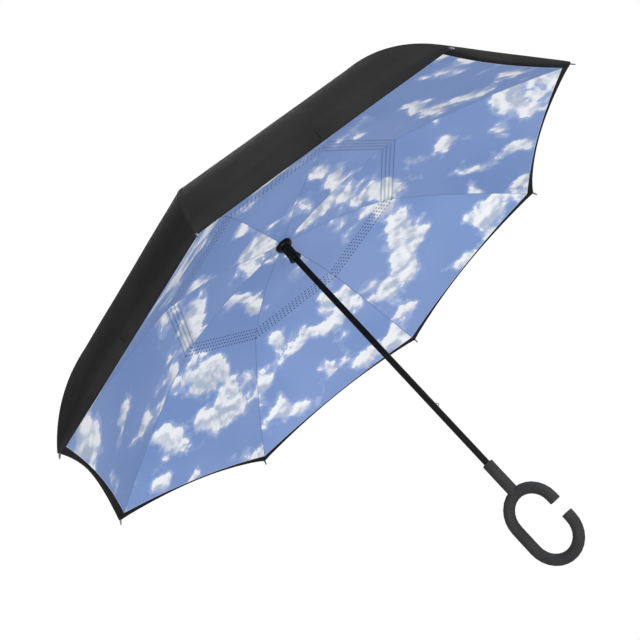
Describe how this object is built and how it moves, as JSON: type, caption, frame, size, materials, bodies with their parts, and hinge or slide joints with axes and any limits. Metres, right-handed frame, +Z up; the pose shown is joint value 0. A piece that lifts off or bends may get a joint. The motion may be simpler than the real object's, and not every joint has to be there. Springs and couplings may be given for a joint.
{
  "type": "inverted umbrella",
  "caption": "Open inverted umbrella with a black outer canopy over a sky blue lining, a straight shaft and a C-shaped handle; it folds upward, inside out.",
  "frame": {"origin": "centre of the handle's loop, on the axis of the shaft", "axes": "+Z up the shaft to the ferrule, +X to the side where the loop opens, which is also the side of both catches; rib 1 stands 16.5 degrees from +X towards +Y"},
  "size_m": [1.0274, 1.0274, 0.8029],
  "materials": {
    "black_coat": "glossy black coat on a steel tube",
    "soft_grey_rubber": "soft matte coat, dark grey",
    "black_plastic": "moulded nylon, black",
    "glossy_black_plastic": "polished black",
    "blackened_steel": "pressed steel, blackened",
    "zinc_steel": "zinc plated",
    "fibreglass": "pultruded fibreglass, black",
    "black_cloth": "tight plain weave with a slight sheen",
    "blue_cloth": "tight plain weave, printed with a sky"
  },
  "bodies": {
    "shaft_frame": {"shaft": "black_coat", "handle": "soft_grey_rubber", "top_notch": "black_plastic", "notch_wire": "zinc_steel", "notch_pin": "zinc_steel", "runner_stop_pin": "zinc_steel", "ferrule": "black_plastic", "outer_canopy": "black_cloth"},
    "runner_group": {"runner": "black_plastic", "runner_wire": "zinc_steel", "lining_disc": "glossy_black_plastic", "lining_canopy": "blue_cloth"},
    "lower_catch": {"lower_catch": "blackened_steel"},
    "upper_catch": {"upper_catch": "blackened_steel"},
    "rib_inner_1": {"rib_channel_1": "blackened_steel", "rib_joint_1": "black_plastic"},
    "rib_outer_1": {"rib_rod_1": "fibreglass", "rib_tip_1": "zinc_steel"},
    "stretcher_arm_1": {"stretcher_1": "blackened_steel"},
    "rib_inner_2": {"rib_channel_2": "blackened_steel", "rib_joint_2": "black_plastic"},
    "rib_outer_2": {"rib_rod_2": "fibreglass", "rib_tip_2": "zinc_steel"},
    "stretcher_arm_2": {"stretcher_2": "blackened_steel"},
    "rib_inner_3": {"rib_channel_3": "blackened_steel", "rib_joint_3": "black_plastic"},
    "rib_outer_3": {"rib_rod_3": "fibreglass", "rib_tip_3": "zinc_steel"},
    "stretcher_arm_3": {"stretcher_3": "blackened_steel"},
    "rib_inner_4": {"rib_channel_4": "blackened_steel", "rib_joint_4": "black_plastic"},
    "rib_outer_4": {"rib_rod_4": "fibreglass", "rib_tip_4": "zinc_steel"},
    "stretcher_arm_4": {"stretcher_4": "blackened_steel"},
    "rib_inner_5": {"rib_channel_5": "blackened_steel", "rib_joint_5": "black_plastic"},
    "rib_outer_5": {"rib_rod_5": "fibreglass", "rib_tip_5": "zinc_steel"},
    "stretcher_arm_5": {"stretcher_5": "blackened_steel"},
    "rib_inner_6": {"rib_channel_6": "blackened_steel", "rib_joint_6": "black_plastic"},
    "rib_outer_6": {"rib_rod_6": "fibreglass", "rib_tip_6": "zinc_steel"},
    "stretcher_arm_6": {"stretcher_6": "blackened_steel"},
    "rib_inner_7": {"rib_channel_7": "blackened_steel", "rib_joint_7": "black_plastic"},
    "rib_outer_7": {"rib_rod_7": "fibreglass", "rib_tip_7": "zinc_steel"},
    "stretcher_arm_7": {"stretcher_7": "blackened_steel"},
    "rib_inner_8": {"rib_channel_8": "blackened_steel", "rib_joint_8": "black_plastic"},
    "rib_outer_8": {"rib_rod_8": "fibreglass", "rib_tip_8": "zinc_steel"},
    "stretcher_arm_8": {"stretcher_8": "blackened_steel"}
  },
  "joints": [
    {"name": "runner_slide", "type": "slide", "parent": "shaft_frame", "child": "runner_group", "axis": [0, 0, -1], "range_m": [0, 0.36554], "deforming": ["outer_canopy", "lining_canopy", "rib_rod_1", "rib_rod_2", "rib_rod_3", "rib_rod_4", "rib_rod_5", "rib_rod_6", "rib_rod_7", "rib_rod_8"]},
    {"name": "rib_hinge_1", "type": "hinge", "parent": "runner_group", "child": "rib_inner_1", "pos_m": [0.01055, 0.00312, 0.6313], "axis": [0.284, -0.9588, 0], "range_deg": [0, 83.78]},
    {"name": "rib_flex_1", "type": "hinge", "parent": "rib_inner_1", "child": "rib_outer_1", "pos_m": [0.22484, 0.0666, 0.6473], "axis": [0.284, -0.9588, 0], "range_deg": [0, 31.4]},
    {"name": "stretcher_hinge_1", "type": "hinge", "parent": "shaft_frame", "child": "stretcher_arm_1", "pos_m": [0.00959, 0.00284, 0.7043], "axis": [-0.284, 0.9588, 0], "range_deg": [0, 75.3]},
    {"name": "rib_hinge_2", "type": "hinge", "parent": "runner_group", "child": "rib_inner_2", "pos_m": [0.00525, 0.00967, 0.6313], "axis": [0.8788, -0.4772, 0], "range_deg": [0, 83.78]},
    {"name": "rib_flex_2", "type": "hinge", "parent": "rib_inner_2", "child": "rib_outer_2", "pos_m": [0.11189, 0.20608, 0.6473], "axis": [0.8788, -0.4772, 0], "range_deg": [0, 31.4]},
    {"name": "stretcher_hinge_2", "type": "hinge", "parent": "shaft_frame", "child": "stretcher_arm_2", "pos_m": [0.00477, 0.00879, 0.7043], "axis": [-0.8788, 0.4772, 0], "range_deg": [0, 75.3]},
    {"name": "rib_hinge_3", "type": "hinge", "parent": "runner_group", "child": "rib_inner_3", "pos_m": [-0.00312, 0.01055, 0.6313], "axis": [0.9588, 0.284, 0], "range_deg": [0, 83.78]},
    {"name": "rib_flex_3", "type": "hinge", "parent": "rib_inner_3", "child": "rib_outer_3", "pos_m": [-0.0666, 0.22484, 0.6473], "axis": [0.9588, 0.284, 0], "range_deg": [0, 31.4]},
    {"name": "stretcher_hinge_3", "type": "hinge", "parent": "shaft_frame", "child": "stretcher_arm_3", "pos_m": [-0.00284, 0.00959, 0.7043], "axis": [-0.9588, -0.284, 0], "range_deg": [0, 75.3]},
    {"name": "rib_hinge_4", "type": "hinge", "parent": "runner_group", "child": "rib_inner_4", "pos_m": [-0.00967, 0.00525, 0.6313], "axis": [0.4772, 0.8788, 0], "range_deg": [0, 83.78]},
    {"name": "rib_flex_4", "type": "hinge", "parent": "rib_inner_4", "child": "rib_outer_4", "pos_m": [-0.20608, 0.11189, 0.6473], "axis": [0.4772, 0.8788, 0], "range_deg": [0, 31.4]},
    {"name": "stretcher_hinge_4", "type": "hinge", "parent": "shaft_frame", "child": "stretcher_arm_4", "pos_m": [-0.00879, 0.00477, 0.7043], "axis": [-0.4772, -0.8788, 0], "range_deg": [0, 75.3]},
    {"name": "rib_hinge_5", "type": "hinge", "parent": "runner_group", "child": "rib_inner_5", "pos_m": [-0.01055, -0.00312, 0.6313], "axis": [-0.284, 0.9588, 0], "range_deg": [0, 83.78]},
    {"name": "rib_flex_5", "type": "hinge", "parent": "rib_inner_5", "child": "rib_outer_5", "pos_m": [-0.22484, -0.0666, 0.6473], "axis": [-0.284, 0.9588, 0], "range_deg": [0, 31.4]},
    {"name": "stretcher_hinge_5", "type": "hinge", "parent": "shaft_frame", "child": "stretcher_arm_5", "pos_m": [-0.00959, -0.00284, 0.7043], "axis": [0.284, -0.9588, 0], "range_deg": [0, 75.3]},
    {"name": "rib_hinge_6", "type": "hinge", "parent": "runner_group", "child": "rib_inner_6", "pos_m": [-0.00525, -0.00967, 0.6313], "axis": [-0.8788, 0.4772, 0], "range_deg": [0, 83.78]},
    {"name": "rib_flex_6", "type": "hinge", "parent": "rib_inner_6", "child": "rib_outer_6", "pos_m": [-0.11189, -0.20608, 0.6473], "axis": [-0.8788, 0.4772, 0], "range_deg": [0, 31.4]},
    {"name": "stretcher_hinge_6", "type": "hinge", "parent": "shaft_frame", "child": "stretcher_arm_6", "pos_m": [-0.00477, -0.00879, 0.7043], "axis": [0.8788, -0.4772, 0], "range_deg": [0, 75.3]},
    {"name": "rib_hinge_7", "type": "hinge", "parent": "runner_group", "child": "rib_inner_7", "pos_m": [0.00312, -0.01055, 0.6313], "axis": [-0.9588, -0.284, 0], "range_deg": [0, 83.78]},
    {"name": "rib_flex_7", "type": "hinge", "parent": "rib_inner_7", "child": "rib_outer_7", "pos_m": [0.0666, -0.22484, 0.6473], "axis": [-0.9588, -0.284, 0], "range_deg": [0, 31.4]},
    {"name": "stretcher_hinge_7", "type": "hinge", "parent": "shaft_frame", "child": "stretcher_arm_7", "pos_m": [0.00284, -0.00959, 0.7043], "axis": [0.9588, 0.284, 0], "range_deg": [0, 75.3]},
    {"name": "rib_hinge_8", "type": "hinge", "parent": "runner_group", "child": "rib_inner_8", "pos_m": [0.00967, -0.00525, 0.6313], "axis": [-0.4772, -0.8788, 0], "range_deg": [0, 83.78]},
    {"name": "rib_flex_8", "type": "hinge", "parent": "rib_inner_8", "child": "rib_outer_8", "pos_m": [0.20608, -0.11189, 0.6473], "axis": [-0.4772, -0.8788, 0], "range_deg": [0, 31.4]},
    {"name": "stretcher_hinge_8", "type": "hinge", "parent": "shaft_frame", "child": "stretcher_arm_8", "pos_m": [0.00879, -0.00477, 0.7043], "axis": [0.4772, 0.8788, 0], "range_deg": [0, 75.3]},
    {"name": "lower_catch_press", "type": "hinge", "parent": "shaft_frame", "child": "lower_catch", "pos_m": [0.003, 0, 0.27226], "axis": [0, 1, 0], "range_deg": [0, 7], "stiffness_Nm_per_rad": 0.05, "springref_deg": -1.15},
    {"name": "upper_catch_press", "type": "hinge", "parent": "shaft_frame", "child": "upper_catch", "pos_m": [0.003, 0, 0.5778], "axis": [0, -1, 0], "range_deg": [0, 7], "stiffness_Nm_per_rad": 0.05, "springref_deg": -1.15}
  ],
  "couplings": [
    {"joint": "rib_hinge_1", "follows": "runner_slide", "rad_per_m": 4.0004},
    {"joint": "rib_flex_1", "follows": "runner_slide", "rad_per_m": 1.4992},
    {"joint": "stretcher_hinge_1", "follows": "runner_slide", "rad_per_m": 3.5952},
    {"joint": "rib_hinge_2", "follows": "runner_slide", "rad_per_m": 4.0004},
    {"joint": "rib_flex_2", "follows": "runner_slide", "rad_per_m": 1.4992},
    {"joint": "stretcher_hinge_2", "follows": "runner_slide", "rad_per_m": 3.5952},
    {"joint": "rib_hinge_3", "follows": "runner_slide", "rad_per_m": 4.0004},
    {"joint": "rib_flex_3", "follows": "runner_slide", "rad_per_m": 1.4992},
    {"joint": "stretcher_hinge_3", "follows": "runner_slide", "rad_per_m": 3.5952},
    {"joint": "rib_hinge_4", "follows": "runner_slide", "rad_per_m": 4.0004},
    {"joint": "rib_flex_4", "follows": "runner_slide", "rad_per_m": 1.4992},
    {"joint": "stretcher_hinge_4", "follows": "runner_slide", "rad_per_m": 3.5952},
    {"joint": "rib_hinge_5", "follows": "runner_slide", "rad_per_m": 4.0004},
    {"joint": "rib_flex_5", "follows": "runner_slide", "rad_per_m": 1.4992},
    {"joint": "stretcher_hinge_5", "follows": "runner_slide", "rad_per_m": 3.5952},
    {"joint": "rib_hinge_6", "follows": "runner_slide", "rad_per_m": 4.0004},
    {"joint": "rib_flex_6", "follows": "runner_slide", "rad_per_m": 1.4992},
    {"joint": "stretcher_hinge_6", "follows": "runner_slide", "rad_per_m": 3.5952},
    {"joint": "rib_hinge_7", "follows": "runner_slide", "rad_per_m": 4.0004},
    {"joint": "rib_flex_7", "follows": "runner_slide", "rad_per_m": 1.4992},
    {"joint": "stretcher_hinge_7", "follows": "runner_slide", "rad_per_m": 3.5952},
    {"joint": "rib_hinge_8", "follows": "runner_slide", "rad_per_m": 4.0004},
    {"joint": "rib_flex_8", "follows": "runner_slide", "rad_per_m": 1.4992},
    {"joint": "stretcher_hinge_8", "follows": "runner_slide", "rad_per_m": 3.5952}
  ]
}
